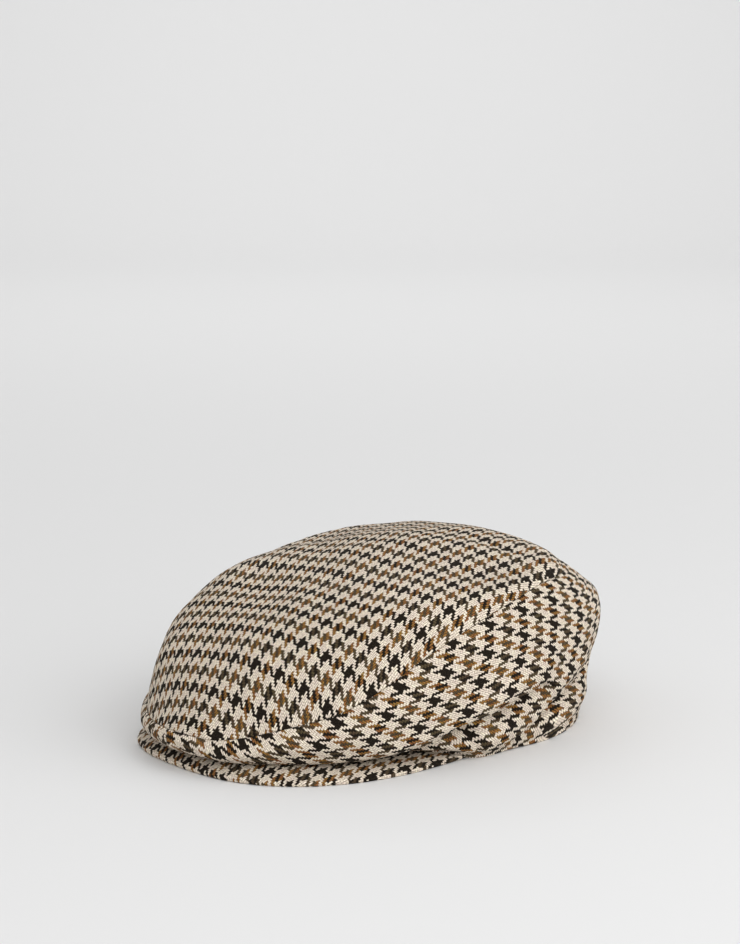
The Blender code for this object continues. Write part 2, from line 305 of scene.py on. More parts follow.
# Stage and light
FLOOR_COLOUR = (0.80, 0.80, 0.80, 1.0)
FLOOR_SPECULAR = 0.1
FLOOR_ROUGHNESS = 0.8
FLOOR_ROUGHNESS_SPREAD = 0.1
FLOOR_GRAIN_SCALE = 900.0
FLOOR_FRONT = 4.0
FLOOR_BACK = 2.5
FLOOR_HALF_WIDTH = 4.0
SWEEP_RADIUS = 1.0
SWEEP_STEPS = 16
BACKDROP_HEIGHT = 4.0
WORLD_STRENGTH = 0.66

# Soft lamps: directions in degrees, distances and sizes in metres, power in watts
# Columns: name, azimuth, elevation, distance, aim behind the cap, size, power
LIGHTS = [
    ("side", 122, 30, 1.8, 0.0, 1.6, 8),
    ("front", 68, 36, 2.5, 0.0, 2.4, 29),
    ("backdrop", 230, 39, 2.6, 2.5, 1.2, 8),
]

OPENING_BACK = CROWN_LENGTH / 2 - BACK_OVERHANG
OPENING_FRONT = OPENING_BACK - OPENING_LENGTH
OPENING_WIDEST = OPENING_FRONT + OPENING_WIDEST_SHARE * OPENING_LENGTH
LOWER_RINGS = ["opening", "hem", "tuck"]
RING_NAMES = LOWER_RINGS + [row[0] for row in RINGS]
SEAM_LEVEL = RING_NAMES.index("seam")
TOP_LEVEL = len(RING_NAMES) - 1


def norms(vectors):
    """Lengths of vectors held in the last axis."""
    return np.linalg.norm(vectors, axis=-1)


def smooth_between(before, start, end, after, share):
    """Points at shares of the way from start to end, on smooth curves through four points each."""
    span = norms(end - start)
    leave = (end - before) * (span / np.maximum(span + norms(start - before), SHORTEST))[..., None]
    arrive = (after - start) * (span / np.maximum(span + norms(after - end), SHORTEST))[..., None]
    square = share * share
    cube = square * share
    return (
        start * (2 * cube - 3 * square + 1)
        + leave * (cube - 2 * square + share)
        + end * (3 * square - 2 * cube)
        + arrive * (cube - square)
    )


def blend_stations(values, headings):
    """Values at headings from five values at headings 0 to 180, mirrored at both ends."""
    place = np.minimum(np.abs(headings) / STATION_STEP, LAST_STATION)
    first = place.astype(int)
    share = place - first
    mirrored = np.array([values[1]] + list(values) + [values[-2]])
    before, start, end, after = (mirrored[first + step] for step in range(4))
    slope = (end - before) / 2
    next_slope = (after - start) / 2
    turn = 3 * (end - start) - 2 * slope - next_slope
    bend = 2 * (start - end) + slope + next_slope
    return start + share * (slope + share * (turn + share * bend))


def hem_lift(headings):
    """Height of the hem over the floor, lifted by the peak at the front."""
    turn = np.minimum(np.abs(headings) / LIFT_END_HEADING, 1)
    return FRONT_LIFT * np.cos(np.pi / 2 * turn) ** 2


def seat_height(headings, reach):
    """Top of the peak under the crown, from the hem at reach 0 to the peak's edge at reach 1."""
    inner = hem_lift(headings)
    edge = PEAK_THICKNESS * (1 - (1 - inner / FRONT_LIFT) ** 2)
    return edge + (inner - edge) * (1 - reach ** PEAK_CURL_POWER)


def plan_points(front, widest, back, half_width, headings):
    """Points of an egg-shaped outline: two half ellipses that meet at its widest place."""
    angles = np.radians(headings)
    reach = np.where(np.abs(headings) < 90, widest - front, back - widest)
    return half_width * np.sin(angles), widest - reach * np.cos(angles)


def opening_plan(headings):
    """Plan of the head opening."""
    return plan_points(OPENING_FRONT, OPENING_WIDEST, OPENING_BACK, OPENING_WIDTH / 2, headings)


def reach_over_peak(x, y):
    """How far points lie from the hem towards the peak's edge: 0 at the hem, 1 at the edge."""
    ahead = np.maximum(OPENING_WIDEST - y, 0) / (OPENING_WIDEST - OPENING_FRONT)
    hem_scale = np.hypot(x / (OPENING_WIDTH / 2), ahead)
    from_hem = np.hypot(x, OPENING_WIDEST - y) * (1 - 1 / np.maximum(hem_scale, 1))
    end = OPENING_FRONT - PEAK_REACH + PEAK_SWEEP
    across = (np.abs(x) / (PEAK_WIDTH / 2)) ** PEAK_SQUARE_POWER
    onward = (np.maximum(end - y, 0) / PEAK_SWEEP) ** PEAK_SQUARE_POWER
    edge_scale = (across + onward) ** (1 / PEAK_SQUARE_POWER)
    to_edge = np.hypot(x, end - y) * (1 / np.clip(edge_scale, LEAST_EDGE_SCALE, 1) - 1)
    return from_hem / np.maximum(from_hem + to_edge, SHORTEST_REACH)


def ring_points(level, headings):
    """Points of one ring at signed headings."""
    name = RING_NAMES[level]
    x, y = opening_plan(headings)
    if name == "opening":
        return np.stack([x, y, hem_lift(headings)], axis=-1)
    if name == "hem":
        return np.stack([x, y, hem_lift(headings) + HEM_BAND], axis=-1)
    if name == "tuck":
        outer = ring_points(level + 1, headings)
        x = x + (outer[..., 0] - x) * TUCK_SHARE
        y = y + (outer[..., 1] - y) * TUCK_SHARE
        heights = TUCK_HEIGHTS
    else:
        _, front, widest, back, half, heights = RINGS[level - len(LOWER_RINGS)]
        plan = (front * CROWN_LENGTH, widest * CROWN_LENGTH, back * CROWN_LENGTH)
        x, y = plan_points(*plan, half * CROWN_WIDTH / 2, headings)
    share = blend_stations(heights, headings)
    seat = seat_height(headings, reach_over_peak(x, y)) + CLEARANCE
    return np.stack([x, y, seat + (CROWN_HEIGHT - seat) * share], axis=-1)


def smooth_crown(levels, headings):
    """Net of crown points, a row for each level and a column for each heading, before any fold."""
    headings = np.asarray(headings, float)
    rings = [ring_points(level, headings) for level in range(TOP_LEVEL + 1)]

    # Past the top, each column runs on down the opposite side, so it crosses the top without a kink
    side = np.where(headings < 0, -1, 1)
    opposite = ring_points(TOP_LEVEL - 1, side * (180 - np.abs(headings)))
    rings.append(opposite * [-1, 1, 1])
    rows = []
    for level in levels:
        first = min(int(level), TOP_LEVEL - 1)
        share = level - first
        start, end = rings[first], rings[first + 1]
        if first == 0:
            rows.append(start + (end - start) * share)
        else:
            rows.append(smooth_between(rings[first - 1], start, end, rings[first + 2], share))
    return np.array(rows)


def crown_spot(level, heading):
    """One unfolded crown point."""
    return smooth_crown([level], [heading])[0, 0]


def fold_strength(points, start, end, above, below):
    """How strongly a fold presses points: 1 on its line, fading to the sides and to both ends."""
    along = end - start
    share = (points - start) @ along / (along @ along)
    reached = np.clip((share + FOLD_RUN_OUT_SHARE) / (1 + 2 * FOLD_RUN_OUT_SHARE), 0, 1)
    nearest = start + np.clip(share, 0, 1)[..., None] * along
    width = np.where(points[..., 2] > nearest[..., 2], above, below)
    side = np.exp(-(norms(points - nearest) / width) ** 2)
    return side * np.sin(np.pi * reached)


def folded_crown(levels, headings):
    """Net of crown points with its folds."""
    points = smooth_crown(levels, headings)
    heart = points * [0, HEART_LENGTH_SHARE, 0] + [0, 0, CROWN_HEIGHT * HEART_HEIGHT_SHARE]
    inward = (heart - points) / norms(heart - points)[..., None]
    push = np.zeros(points.shape[:2])
    for _, sides, heading_from, ring_from, heading_to, ring_to, above, below, depth in FOLDS:
        for side in sides:
            start = crown_spot(ring_from, side * heading_from)
            end = crown_spot(ring_to, side * heading_to)
            fades = (above * CROWN_WIDTH, below * CROWN_WIDTH)
            push += depth * CROWN_HEIGHT * fold_strength(points, start, end, *fades)
    hem_hold = np.clip(np.asarray(levels) - 1, 0, 1)[:, None]
    return points + inward * (push * hem_hold)[..., None]


def net_normals(points, wrapped):
    """Unit normals of a net, out of the crown for rows that rise and columns that run from -180 to 180."""
    upward = np.gradient(points, axis=0)
    if wrapped:
        padded = np.concatenate([points[:, -2:-1], points, points[:, 1:2]], axis=1)
        across = np.gradient(padded, axis=1)[:, 1:-1]
    else:
        across = np.gradient(points, axis=1)
    normals = np.cross(across, upward)
    return normals / np.maximum(norms(normals), SMALLEST_AREA)[..., None]


def row_distance(points, row):
    """Distance of each point from one row of its net, measured along its column."""
    steps = norms(np.diff(points, axis=0))
    travel = np.concatenate([np.zeros((1, points.shape[1])), np.cumsum(steps, axis=0)])
    return np.abs(travel - travel[row])


def seam_relief(distance, headings, phase):
    """Height of the cloth beside a seam: its turned edge, a low swell behind that and small puckers."""
    edge = np.clip(1 - distance / SEAM_ROUND, 0, 1)
    turned = -SEAM_ROUND * (1 - np.sqrt(1 - edge ** 2))
    place = distance / SEAM_SWELL_REACH
    swell = SEAM_SWELL * place * np.exp(1 - place)
    ripple = np.sin(2 * np.pi * headings * METRES_PER_DEGREE / PUCKER_LENGTH + phase)
    beat = np.sin(headings * PUCKER_BEAT + phase)
    pucker = PUCKER_DEPTH * (ripple * beat) * np.exp(-(distance / PUCKER_REACH) ** 2)
    return turned + swell + pucker


def net_numbers(shape, wrapped, pole):
    """Vertex numbers of a net. A wrapped net's last column is its first, and a pole's row is one point."""
    rows, columns = shape
    own_columns = columns - 1 if wrapped else columns
    numbers = np.arange(rows)[:, None] * own_columns + np.arange(columns)[None, :] % own_columns
    if pole:
        numbers[-1] = (rows - 1) * own_columns
    return numbers


def net_pairs(numbers):
    """Neighbours in a net, along its rows, its columns and both diagonals."""
    steps = (
        (numbers[:, :-1], numbers[:, 1:]),
        (numbers[:-1], numbers[1:]),
        (numbers[:-1, :-1], numbers[1:, 1:]),
        (numbers[:-1, 1:], numbers[1:, :-1]),
    )
    pairs = [np.stack([first.ravel(), second.ravel()], axis=1) for first, second in steps]
    pairs = np.concatenate(pairs)
    return pairs[pairs[:, 0] != pairs[:, 1]]


def per_vertex(net, numbers):
    """Values of a net listed by vertex number."""
    values = np.zeros((numbers.max() + 1, net.shape[-1]))
    values[numbers.ravel()] = net.reshape(-1, net.shape[-1])
    return values


def spread_flat(places, start, pairs):
    """Lay a small net out flat, with every distance between neighbours kept as well as can be."""
    first, second = pairs.T
    rest = norms(places[first] - places[second])
    pull = 1 / np.maximum(rest, SHORTEST_STEP)
    count = len(places)
    stiffness = np.zeros((count, count))
    np.add.at(stiffness, (first, first), pull)
    np.add.at(stiffness, (second, second), pull)
    np.add.at(stiffness, (first, second), -pull)
    np.add.at(stiffness, (second, first), -pull)
    stiffness[0, 0] += pull.mean()
    answer = np.linalg.inv(stiffness)
    flat = start - start[0]
    for _ in range(SPREAD_ROUNDS):
        gap = flat[first] - flat[second]
        wanted = gap * (rest * pull / np.maximum(norms(gap), SHORTEST))[:, None]
        load = np.zeros((count, 2))
        np.add.at(load, first, wanted)
        np.add.at(load, second, -wanted)
        flat = answer @ load
    return flat


def settle_flat(places, flat, pairs):
    """Ease a fine net in the plane until its neighbours' distances are right around every small fold."""
    first, second = pairs.T
    rest = norms(places[first] - places[second])
    count = len(places)
    shares = np.bincount(first, minlength=count) + np.bincount(second, minlength=count)
    for _ in range(SETTLE_ROUNDS):
        gap = flat[second] - flat[first]
        length = np.maximum(norms(gap), SHORTEST)
        move = gap * ((length - rest) / length / 2)[:, None]
        for axis in (0, 1):
            step = move[:, axis]
            pulled = np.bincount(first, step, count) - np.bincount(second, step, count)
            flat[:, axis] += SETTLE_PUSH * pulled / shares
    return flat


def refine(coarse, rows, columns, row_count, column_count):
    """Values between a net's chosen rows and columns."""
    wide = np.array([
        [np.interp(np.arange(column_count), columns, line[:, axis]) for axis in (0, 1)]
        for line in coarse
    ]).transpose(1, 2, 0)
    return np.array([
        [np.interp(np.arange(row_count), rows, wide[axis, column]) for axis in (0, 1)]
        for column in range(column_count)
    ]).transpose(2, 0, 1)


def lay_out(points, start, wrapped, pole):
    """Flat layout of a net of cloth, in metres: first coarse, then eased at full fineness."""
    row_count, column_count = points.shape[:2]
    rows = sorted({*range(0, row_count, LAYOUT_STRIDE), row_count - 1})
    columns = sorted({*range(0, column_count, LAYOUT_STRIDE), column_count - 1})
    coarse_points = points[np.ix_(rows, columns)]
    coarse_start = start[np.ix_(rows, columns)]
    numbers = net_numbers(coarse_points.shape[:2], wrapped, pole)
    places = per_vertex(coarse_points, numbers)
    flat = spread_flat(places, per_vertex(coarse_start, numbers), net_pairs(numbers))
    fine = refine(flat[numbers], rows, columns, row_count, column_count)
    numbers = net_numbers((row_count, column_count), wrapped, pole)
    flat = settle_flat(per_vertex(points, numbers), per_vertex(fine, numbers), net_pairs(numbers))
    return flat[numbers]


def line_up(layout, points, row, column, direction):
    """Turn a layout so that a direction on the surface at one place runs along the fore-and-aft threads.

    The result counts threads from that place: first the fore-and-aft ones, then those that cross them.
    """
    spot = points[row, column]
    near = points[row - 2:row + 3, column - 2:column + 3].reshape(-1, 3) - spot
    flat_near = (layout[row - 2:row + 3, column - 2:column + 3] - layout[row, column]).reshape(-1, 2)
    slope = np.linalg.lstsq(near, flat_near, rcond=None)[0]
    heading = np.asarray(direction) @ slope
    turn = math.pi / 2 - math.atan2(heading[1], heading[0])
    turned = (layout - layout[row, column]) @ np.array(
        [[math.cos(turn), math.sin(turn)], [-math.sin(turn), math.cos(turn)]]
    )
    return turned / [THREAD_ACROSS, THREAD_ALONG]


def pull_threads(threads, pulls):
    """Thread counts after the cloth was pulled at a few places."""
    pulled = threads.copy()
    for across, along, radius, move_across, move_along in pulls:
        away = (threads - [across, along]) * [1, THREAD_ALONG / THREAD_ACROSS] / radius
        pulled += np.exp(-(away ** 2).sum(axis=-1))[..., None] * [move_across, move_along]
    return pulled


def add_piece(name, points, faces, threads):
    """Smooth mesh object with its thread counts as a UV map."""
    mesh = bpy.data.meshes.new(name)
    mesh.from_pydata(points.tolist(), [], faces)
    mesh.update()
    layer = mesh.uv_layers.new(name="threads")
    corners = np.zeros(len(mesh.loops), dtype=np.int32)
    mesh.loops.foreach_get("vertex_index", corners)
    layer.data.foreach_set("uv", threads[corners].astype(np.float32).ravel())
    mesh.polygons.foreach_set("use_smooth", np.ones(len(mesh.polygons), dtype=bool))
    item = bpy.data.objects.new(name, mesh)
    bpy.context.scene.collection.objects.link(item)
    return item


def quads(upper, lower):
    """Faces between two rows of vertex numbers, without those that have no width."""
    faces = []
    for index in range(len(upper) - 1):
        corners = list(dict.fromkeys([upper[index], upper[index + 1], lower[index + 1], lower[index]]))
        if len(corners) > 2:
            faces.append(corners)
    return faces


def make_shell(name, outer, inner, threads, wrapped, pole):
    """Closed wall between two nets of points, joined round every free edge."""
    numbers = net_numbers(outer.shape[:2], wrapped, pole)
    count = numbers.max() + 1
    inside = numbers + count
    faces = []
    for row in range(len(numbers) - 1):
        faces += quads(numbers[row].tolist(), numbers[row + 1].tolist())
        faces += quads(inside[row + 1].tolist(), inside[row].tolist())
    faces += quads(inside[0].tolist(), numbers[0].tolist())
    if not pole:
        faces += quads(numbers[-1].tolist(), inside[-1].tolist())
    if not wrapped:
        faces += quads(numbers[:, 0].tolist(), inside[:, 0].tolist())
        faces += quads(inside[:, -1].tolist(), numbers[:, -1].tolist())
    points = np.concatenate([per_vertex(outer, numbers), per_vertex(inner, numbers)])
    counts = np.concatenate([per_vertex(threads, numbers)] * 2)
    return add_piece(name, points, faces, counts)


def fine_from_start(first, last, count):
    """Run of values whose steps grow from fine ones at its start."""
    share = np.linspace(0, 1, count + 1) ** 2
    return first + (last - first) * share


def fine_to_end(first, last, count):
    """Run of values whose steps shrink to fine ones at its end."""
    share = 1 - (1 - np.linspace(0, 1, count + 1)) ** 2
    return first + (last - first) * share


def undulation(points):
    """Low unevenness of laid cloth, the same for every panel so that seams still meet."""
    waves = np.zeros(points.shape[:2])
    for number, (x, y, z, height) in enumerate(UNDULATIONS):
        waves += height * np.sin(points @ (2 * np.pi / np.array([x, y, z])) + number)
    return waves * np.clip(points[..., 2] / UNDULATION_FADE_HEIGHT, 0, 1)


def slump(points):
    """Points moved by the slack places of the resting crown."""
    moved = points.copy()
    for _, x, y, z, radius, move_x, move_y, move_z in SLUMPS:
        strength = np.exp(-(norms(points - [x, y, z]) / radius) ** 2)
        moved += strength[..., None] * [move_x, move_y, move_z]
    return moved


def edge_end(distance, thickness):
    """Thickness of a wall near its free edge, rounded to a half circle."""
    place = np.clip(1 - distance / (thickness / 2), 0, 1)
    return thickness * np.sqrt(np.maximum(1 - place ** 2, LEAST_HEM_SHARE ** 2))


def make_top_panel():
    """One-piece top of the crown, inside the seam."""
    first = SEAM_LEVEL + SEAM_GAP_SHARE
    rows_above = (TOP_LEVEL - SEAM_LEVEL - 1) * TOP_ROWS_PER_RING
    levels = np.concatenate([
        fine_from_start(first, SEAM_LEVEL + 1, TOP_ROWS_PER_RING),
        np.linspace(SEAM_LEVEL + 1, TOP_LEVEL, rows_above + 1)[1:],
    ])
    headings = np.linspace(-180, 180, TOP_COLUMNS + 1)
    points = slump(folded_crown(levels, headings))
    normals = net_normals(points, True)
    upward = normals[-2].mean(axis=0)
    normals[-1] = upward / np.linalg.norm(upward)
    distance = row_distance(points, 0)
    spread = np.broadcast_to(headings, distance.shape)
    relief = seam_relief(distance, spread, TOP_PHASE) + undulation(points)
    outer = points + normals * relief[..., None]
    inner = points - normals * CLOTH
    radius = row_distance(points, len(levels) - 1)
    angles = np.radians(headings)
    start = np.stack([radius * np.sin(angles), -radius * np.cos(angles)], axis=-1)
    layout = lay_out(outer, start, True, True)
    column = int(np.argmin(np.abs(headings - TOP_REFERENCE[1])))
    row = int(np.argmin(np.abs(levels - TOP_REFERENCE[0])))
    turn = math.radians(TOP_GRAIN_TURN)
    threads = line_up(layout, outer, row, column, (-math.sin(turn), math.cos(turn), 0))
    threads = pull_threads(threads, TOP_PULLS) + TOP_THREAD_SHIFT
    return make_shell("top_panel_cloth", outer, inner, threads, True, True)


def make_side_panel(name, side, pulls, thread_shift):
    """Side of the crown from the hem to the seam, from the front seam to the back seam."""
    levels = np.concatenate([
        fine_from_start(0, 1, HEM_STEPS),
        np.linspace(1, SEAM_LEVEL - 1, (SEAM_LEVEL - 2) * ROWS_PER_RING + 1)[1:],
        fine_to_end(SEAM_LEVEL - 1, SEAM_LEVEL - SEAM_GAP_SHARE, ROWS_PER_RING)[1:],
    ])
    last_heading = 180 - SIDE_END_HEADING
    headings = np.concatenate([
        fine_from_start(0, SIDE_END_HEADING, SIDE_END_COLUMNS),
        np.linspace(SIDE_END_HEADING, last_heading, SIDE_COLUMNS)[1:-1],
        fine_to_end(last_heading, 180, SIDE_END_COLUMNS),
    ])
    if side < 0:
        headings = -headings[::-1]
    points = slump(folded_crown(levels, headings))
    normals = net_normals(points, False)
    to_seam = row_distance(points, len(levels) - 1)
    to_hem = row_distance(points, 0)
    from_ends = [row_distance(points.transpose(1, 0, 2), end).T for end in (0, len(headings) - 1)]
    to_end = np.minimum(*from_ends)
    spread = np.broadcast_to(headings, to_seam.shape)
    rise = np.broadcast_to(levels[:, None] * DEGREES_PER_LEVEL, to_seam.shape)
    at_seam = seam_relief(to_seam, spread, SIDE_PHASE)
    at_ends = seam_relief(to_end, rise, END_PHASE)
    relief = np.maximum(np.minimum(at_seam, 0) + np.minimum(at_ends, 0), -SEAM_ROUND)
    relief += np.maximum(at_seam, 0) + undulation(points)
    wall = edge_end(to_hem, CLOTH)
    outer = points + normals * (relief - (CLOTH - wall) / 2)[..., None]
    inner = points - normals * ((CLOTH + wall) / 2)[..., None]
    for net in (outer, inner):
        net[:, [0, -1], 0] = side * JOINT_HALF_GAP
        net[..., 2] = np.maximum(net[..., 2], FLOOR_GAP)
    travel = from_ends[0][len(levels) // 2]
    start = np.stack([np.broadcast_to(travel, to_hem.shape), to_hem], axis=-1)
    layout = lay_out(outer, start, False, False)
    drop = math.radians(SIDE_GRAIN_DROP)
    column = int(np.argmin(np.abs(np.abs(headings) - SIDE_REFERENCE[1])))
    row = int(np.argmin(np.abs(levels - SIDE_REFERENCE[0])))
    grain = (0, math.cos(drop), -math.sin(drop))
    threads = pull_threads(line_up(layout, outer, row, column, grain), pulls) + thread_shift
    return make_shell(name, outer, inner, threads, False, False)


def peak_sections(shares):
    """Nets of the peak's covered top with its rim, and of its underside, for places from -1 to 1."""
    headings = PEAK_END_HEADING * shares
    angles = np.radians(90 * np.abs(shares))
    power = 2 / PEAK_SQUARE_POWER
    x = np.sign(shares) * PEAK_WIDTH / 2 * np.sin(angles) ** power
    y = OPENING_FRONT - PEAK_REACH + PEAK_SWEEP * (1 - np.maximum(np.cos(angles), 0) ** power)
    outer = np.stack([x, y, PEAK_END_LIFT * np.abs(shares) ** PEAK_END_POWER], axis=-1)
    hem_x, hem_y = opening_plan(headings)
    flat = np.stack([outer[:, 0] - hem_x, outer[:, 1] - hem_y, 0 * hem_x], axis=-1)
    outward = flat / norms(flat)[:, None]
    narrowed = np.stack([hem_x, hem_y, outer[:, 2]], axis=-1) + outward * PEAK_END_WIDTH
    outer += (narrowed - outer) * (np.abs(shares) ** PEAK_NARROW_POWER)[:, None]
    radius = PEAK_THICKNESS / 2 * (1 - PEAK_TIP_TAPER_SHARE * shares ** 2)
    hem = np.stack([hem_x, hem_y, hem_lift(headings) - CLEARANCE - radius], axis=-1)
    inner = hem - outward * PEAK_TURN_IN
    rim_centre = outer - outward * radius[:, None]
    rim_centre[:, 2] = outer[:, 2] + radius
    length = norms((rim_centre - inner)[:, :2])
    drop = inner[:, 2] - rim_centre[:, 2]
    up = np.array([0, 0, 1.0])

    def slice_at(place, side):
        slope = -drop * PEAK_CURL_POWER * place ** (PEAK_CURL_POWER - 1) / length
        normal = up - outward * slope[:, None]
        normal /= norms(normal)[:, None]
        centre = inner + outward * (length * place)[:, None]
        centre[:, 2] = inner[:, 2] - drop * place ** PEAK_CURL_POWER
        return centre + side * normal * radius[:, None], normal

    top = [slice_at(place, 1)[0] for place in fine_to_end(0, 1, PEAK_ROWS)]
    last_normal = slice_at(1.0, 1)[1]
    outer_normal = np.cross(last_normal, np.cross(outward, last_normal))
    for turn in np.linspace(0, np.pi, PEAK_RIM_ROWS + 1)[1:]:
        around = last_normal * np.cos(turn) + outer_normal * np.sin(turn)
        top.append(rim_centre + around * radius[:, None])
    places = fine_to_end(0, PEAK_UNDER_REACH, PEAK_ROWS + PEAK_RIM_ROWS)
    under = [slice_at(place, -1)[0] for place in places]
    return np.array(top), np.array(under)


def make_peak():
    """Stiff peak with the cloth drawn over its rim."""
    shares = np.linspace(-1, 1, PEAK_COLUMNS + 1)
    top, under = peak_sections(shares)
    rows = np.arange(len(top))[:, None]
    near_rim = np.exp(-((rows - PEAK_ROWS) / PEAK_RIM_ROWS) ** 2)
    quick, slow = PEAK_RIPPLE_WAVES
    ripple = np.sin(shares * quick) * np.sin(shares * slow + PEAK_RIPPLE_PHASE) * near_rim
    normals = -net_normals(top, False)
    hold_rows = np.clip(rows / PEAK_STILL_ROWS, 0, 1)
    hold = hold_rows * np.clip((1 - np.abs(shares)) * PEAK_GROWTH_FROM_ENDS, 0, 1)
    top = top + normals * (PEAK_RIPPLE * ripple * hold)[..., None]
    top[..., 2] = np.maximum(top[..., 2], FLOOR_GAP)
    under[..., 2] = np.maximum(under[..., 2], FLOOR_GAP)
    layout = lay_out(top, top[..., :2], False, False)
    threads = line_up(layout, top, PEAK_ROWS // 2, PEAK_COLUMNS // 2, (0, 1, 0))
    return make_shell("peak_cloth", top, under, threads, False, False)


class Graph:
    """Short ways to add shader nodes and join them.

    A mix node's inputs are its share at 0, two numbers from 2, two vectors from 4 and two colours from 6.
    """

    def __init__(self, tree):
        self.tree = tree

    def node(self, kind, inputs=(), **settings):
        """New node with its settings, its inputs joined or set by position or name."""
        node = self.tree.nodes.new(kind)
        for name, value in settings.items():
            setattr(node, name, value)
        items = inputs.items() if isinstance(inputs, dict) else enumerate(inputs)
        for key, value in items:
            self.put(value, node.inputs[key])
        return node

    def put(self, value, socket):
        """Join a socket to an output, or set its value."""
        if isinstance(value, bpy.types.NodeSocket):
            self.tree.links.new(value, socket)
        else:
            socket.default_value = value

    def math(self, operation, *inputs):
        """Output of a math node."""
        return self.node("ShaderNodeMath", inputs, operation=operation).outputs[0]

    def centred(self, share):
        """Share as a number from -0.5 to 0.5."""
        return self.math("SUBTRACT", share, 0.5)

    def varied(self, base, value, spread):
        """Base plus a value times a spread."""
        return self.math("ADD", base, self.math("MULTIPLY", value, spread))

    def arch(self, share):
        """Curve over a share: 0 at both ends and 1 in the middle."""
        return self.math("MULTIPLY", self.math("MULTIPLY", share, 4.0), self.math("SUBTRACT", 1.0, share))

    def blend(self, share, first, second):
        """Number between two, at a share."""
        return self.node("ShaderNodeMix", {0: share, 2: first, 3: second}).outputs[0]

    def colour(self, share, first, second, mode="MIX"):
        """Colour from two, mixed at a share."""
        inputs = {0: share, 6: first, 7: second}
        return self.node("ShaderNodeMix", inputs, data_type="RGBA", blend_type=mode).outputs[2]

    def vector(self, x, y, z=0.0):
        """Vector from three numbers."""
        return self.node("ShaderNodeCombineXYZ", (x, y, z)).outputs[0]

    def noise(self, vector, scale, detail=2.0, output="Fac"):
        """Noise that is the same on every run."""
        inputs = {"Vector": vector, "Scale": scale, "Detail": detail}
        return self.node("ShaderNodeTexNoise", inputs, noise_dimensions="2D").outputs[output]


def band_colour(graph, place, colours):
    """Colour of a thread by its place in a repeat of equal bands."""
    ramp = graph.node("ShaderNodeValToRGB", (place,))
    ramp.color_ramp.interpolation = "CONSTANT"
    elements = ramp.color_ramp.elements
    ready = len(elements)
    for index, colour in enumerate(colours):
        position = index / len(colours)
        element = elements[index] if index < ready else elements.new(position)
        element.position = position
        element.color = colour
    return ramp.outputs[0]


def yarn_colour(graph, number, fleck, colours, flecks):
    """Colour of a thread by its number, with its flecks where there are any."""
    repeat = BAND_THREADS * len(colours)
    middle = graph.math("ADD", graph.math("FLOORED_MODULO", number, repeat), 0.5)
    place = graph.math("DIVIDE", middle, repeat)
    return graph.colour(fleck, band_colour(graph, place, colours), band_colour(graph, place, flecks))


